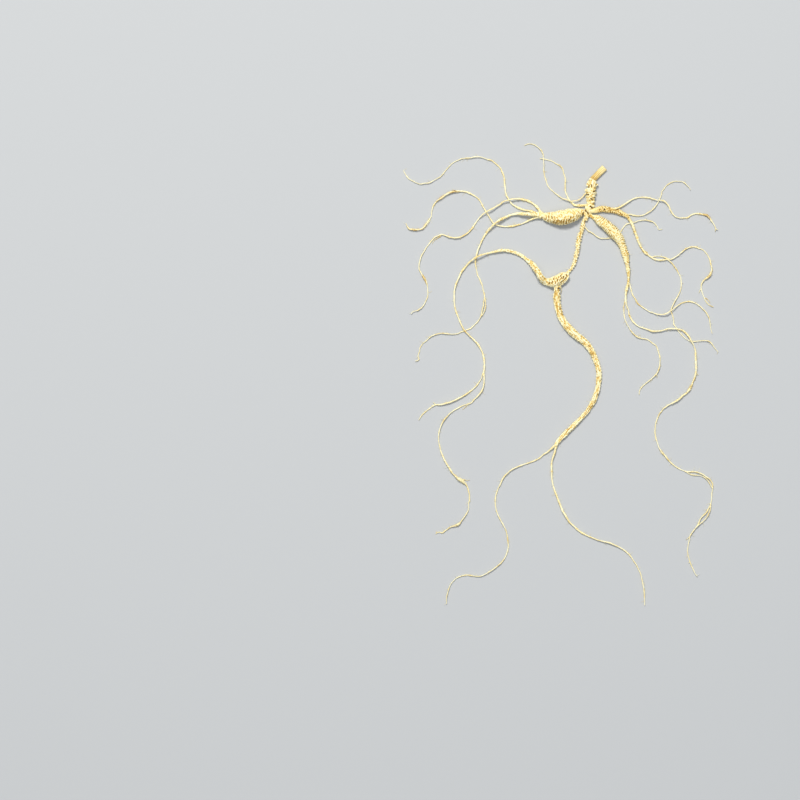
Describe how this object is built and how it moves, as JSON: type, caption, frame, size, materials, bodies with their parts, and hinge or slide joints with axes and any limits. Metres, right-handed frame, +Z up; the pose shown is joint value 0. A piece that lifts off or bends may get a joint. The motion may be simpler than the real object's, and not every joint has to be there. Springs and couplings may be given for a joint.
{
  "type": "ginseng root",
  "caption": "Dried wild ginseng root with a knobby rhizome, plump forked roots, a wavy tail and long fine rootlets, lying spread out flat.",
  "frame": {"origin": "bottom centre of the root's box, on the surface that it lies on", "axes": "+Z up from the surface, +Y towards the rhizome and stalk foot, +X to the right seen from above"},
  "size_m": [0.265, 0.3878, 0.0124],
  "materials": {
    "root_skin": "dry, matt, finely wrinkled"
  },
  "bodies": {
    "root": {"ginseng_root": "root_skin"}
  },
  "joints": []
}
